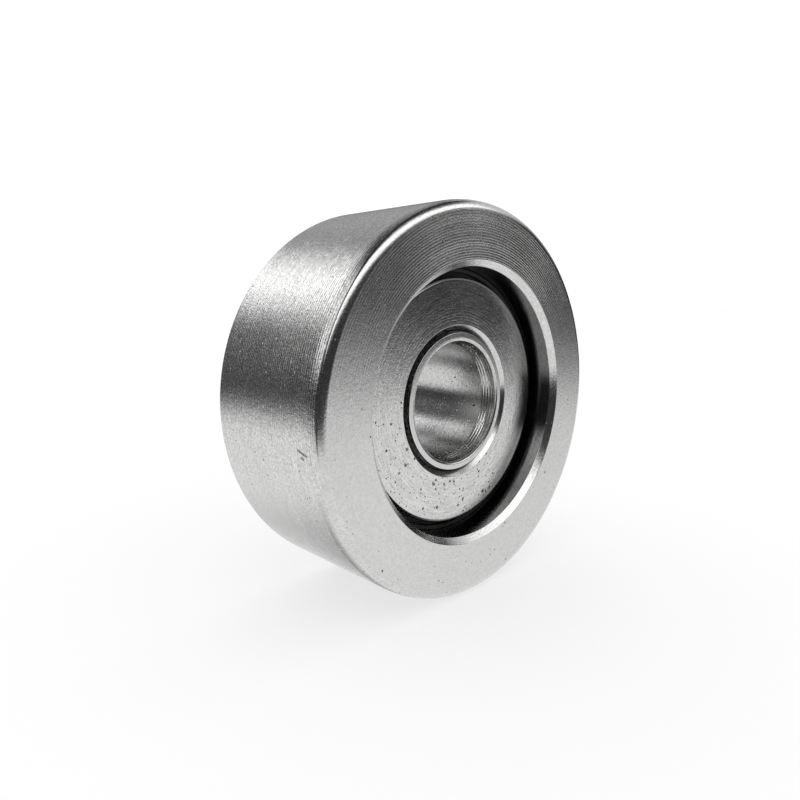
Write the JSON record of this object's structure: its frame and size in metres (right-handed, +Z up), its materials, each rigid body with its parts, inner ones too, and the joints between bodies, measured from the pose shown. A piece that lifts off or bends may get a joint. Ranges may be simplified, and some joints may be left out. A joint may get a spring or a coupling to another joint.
{
  "type": "cam follower",
  "caption": "Yoke-type track roller: thick outer ring with rounded rims on a caged needle-roller set, bored inner ring, recessed side plates and lip seals.",
  "frame": {"origin": "centre of the outer ring, on the axis of rotation at the middle of the tread's width", "axes": "+Y along the axis of rotation, with the front face at -Y; +Z up; the roller stands on its tread at -Z"},
  "size_m": [0.04, 0.0165, 0.04],
  "materials": {
    "ring_steel": "satin, turned and ground bearing steel",
    "plate_steel": "satin, turned steel",
    "roller_steel": "ground and polished bearing steel",
    "cage_steel": "oiled sheet steel",
    "seal_rubber": "matte black"
  },
  "bodies": {
    "inner_ring_set": {"inner_ring": "ring_steel", "front_side_plate": "plate_steel", "rear_side_plate": "plate_steel"},
    "outer_ring_set": {"outer_ring": "ring_steel", "front_lip_seal": "seal_rubber", "rear_lip_seal": "seal_rubber"},
    "cage": {"roller_cage": "cage_steel"},
    "roller_01": {"needle_roller_01": "roller_steel"},
    "roller_02": {"needle_roller_02": "roller_steel"},
    "roller_03": {"needle_roller_03": "roller_steel"},
    "roller_04": {"needle_roller_04": "roller_steel"},
    "roller_05": {"needle_roller_05": "roller_steel"},
    "roller_06": {"needle_roller_06": "roller_steel"},
    "roller_07": {"needle_roller_07": "roller_steel"},
    "roller_08": {"needle_roller_08": "roller_steel"},
    "roller_09": {"needle_roller_09": "roller_steel"},
    "roller_10": {"needle_roller_10": "roller_steel"},
    "roller_11": {"needle_roller_11": "roller_steel"},
    "roller_12": {"needle_roller_12": "roller_steel"},
    "roller_13": {"needle_roller_13": "roller_steel"},
    "roller_14": {"needle_roller_14": "roller_steel"},
    "roller_15": {"needle_roller_15": "roller_steel"},
    "roller_16": {"needle_roller_16": "roller_steel"},
    "roller_17": {"needle_roller_17": "roller_steel"},
    "roller_18": {"needle_roller_18": "roller_steel"}
  },
  "joints": [
    {"name": "outer_ring_spin", "type": "hinge", "parent": "inner_ring_set", "child": "outer_ring_set", "pos_m": [0, 0, 0], "axis": [0, 1, 0], "continuous": true},
    {"name": "cage_spin", "type": "hinge", "parent": "inner_ring_set", "child": "cage", "pos_m": [0, 0, 0], "axis": [0, 1, 0], "continuous": true},
    {"name": "roller_01_spin", "type": "hinge", "parent": "cage", "child": "roller_01", "pos_m": [0, 0, 0.00975], "axis": [0, 1, 0], "continuous": true},
    {"name": "roller_02_spin", "type": "hinge", "parent": "cage", "child": "roller_02", "pos_m": [0.00333, 0, 0.00916], "axis": [0, 1, 0], "continuous": true},
    {"name": "roller_03_spin", "type": "hinge", "parent": "cage", "child": "roller_03", "pos_m": [0.00627, 0, 0.00747], "axis": [0, 1, 0], "continuous": true},
    {"name": "roller_04_spin", "type": "hinge", "parent": "cage", "child": "roller_04", "pos_m": [0.00844, 0, 0.00487], "axis": [0, 1, 0], "continuous": true},
    {"name": "roller_05_spin", "type": "hinge", "parent": "cage", "child": "roller_05", "pos_m": [0.0096, 0, 0.00169], "axis": [0, 1, 0], "continuous": true},
    {"name": "roller_06_spin", "type": "hinge", "parent": "cage", "child": "roller_06", "pos_m": [0.0096, 0, -0.00169], "axis": [0, 1, 0], "continuous": true},
    {"name": "roller_07_spin", "type": "hinge", "parent": "cage", "child": "roller_07", "pos_m": [0.00844, 0, -0.00487], "axis": [0, 1, 0], "continuous": true},
    {"name": "roller_08_spin", "type": "hinge", "parent": "cage", "child": "roller_08", "pos_m": [0.00627, 0, -0.00747], "axis": [0, 1, 0], "continuous": true},
    {"name": "roller_09_spin", "type": "hinge", "parent": "cage", "child": "roller_09", "pos_m": [0.00333, 0, -0.00916], "axis": [0, 1, 0], "continuous": true},
    {"name": "roller_10_spin", "type": "hinge", "parent": "cage", "child": "roller_10", "pos_m": [0, 0, -0.00975], "axis": [0, 1, 0], "continuous": true},
    {"name": "roller_11_spin", "type": "hinge", "parent": "cage", "child": "roller_11", "pos_m": [-0.00333, 0, -0.00916], "axis": [0, 1, 0], "continuous": true},
    {"name": "roller_12_spin", "type": "hinge", "parent": "cage", "child": "roller_12", "pos_m": [-0.00627, 0, -0.00747], "axis": [0, 1, 0], "continuous": true},
    {"name": "roller_13_spin", "type": "hinge", "parent": "cage", "child": "roller_13", "pos_m": [-0.00844, 0, -0.00487], "axis": [0, 1, 0], "continuous": true},
    {"name": "roller_14_spin", "type": "hinge", "parent": "cage", "child": "roller_14", "pos_m": [-0.0096, 0, -0.00169], "axis": [0, 1, 0], "continuous": true},
    {"name": "roller_15_spin", "type": "hinge", "parent": "cage", "child": "roller_15", "pos_m": [-0.0096, 0, 0.00169], "axis": [0, 1, 0], "continuous": true},
    {"name": "roller_16_spin", "type": "hinge", "parent": "cage", "child": "roller_16", "pos_m": [-0.00844, 0, 0.00487], "axis": [0, 1, 0], "continuous": true},
    {"name": "roller_17_spin", "type": "hinge", "parent": "cage", "child": "roller_17", "pos_m": [-0.00627, 0, 0.00747], "axis": [0, 1, 0], "continuous": true},
    {"name": "roller_18_spin", "type": "hinge", "parent": "cage", "child": "roller_18", "pos_m": [-0.00333, 0, 0.00916], "axis": [0, 1, 0], "continuous": true}
  ],
  "couplings": [
    {"joint": "cage_spin", "follows": "outer_ring_spin", "ratio": 0.5641},
    {"joint": "roller_01_spin", "follows": "outer_ring_spin", "ratio": 3.8359},
    {"joint": "roller_02_spin", "follows": "outer_ring_spin", "ratio": 3.8359},
    {"joint": "roller_03_spin", "follows": "outer_ring_spin", "ratio": 3.8359},
    {"joint": "roller_04_spin", "follows": "outer_ring_spin", "ratio": 3.8359},
    {"joint": "roller_05_spin", "follows": "outer_ring_spin", "ratio": 3.8359},
    {"joint": "roller_06_spin", "follows": "outer_ring_spin", "ratio": 3.8359},
    {"joint": "roller_07_spin", "follows": "outer_ring_spin", "ratio": 3.8359},
    {"joint": "roller_08_spin", "follows": "outer_ring_spin", "ratio": 3.8359},
    {"joint": "roller_09_spin", "follows": "outer_ring_spin", "ratio": 3.8359},
    {"joint": "roller_10_spin", "follows": "outer_ring_spin", "ratio": 3.8359},
    {"joint": "roller_11_spin", "follows": "outer_ring_spin", "ratio": 3.8359},
    {"joint": "roller_12_spin", "follows": "outer_ring_spin", "ratio": 3.8359},
    {"joint": "roller_13_spin", "follows": "outer_ring_spin", "ratio": 3.8359},
    {"joint": "roller_14_spin", "follows": "outer_ring_spin", "ratio": 3.8359},
    {"joint": "roller_15_spin", "follows": "outer_ring_spin", "ratio": 3.8359},
    {"joint": "roller_16_spin", "follows": "outer_ring_spin", "ratio": 3.8359},
    {"joint": "roller_17_spin", "follows": "outer_ring_spin", "ratio": 3.8359},
    {"joint": "roller_18_spin", "follows": "outer_ring_spin", "ratio": 3.8359}
  ]
}
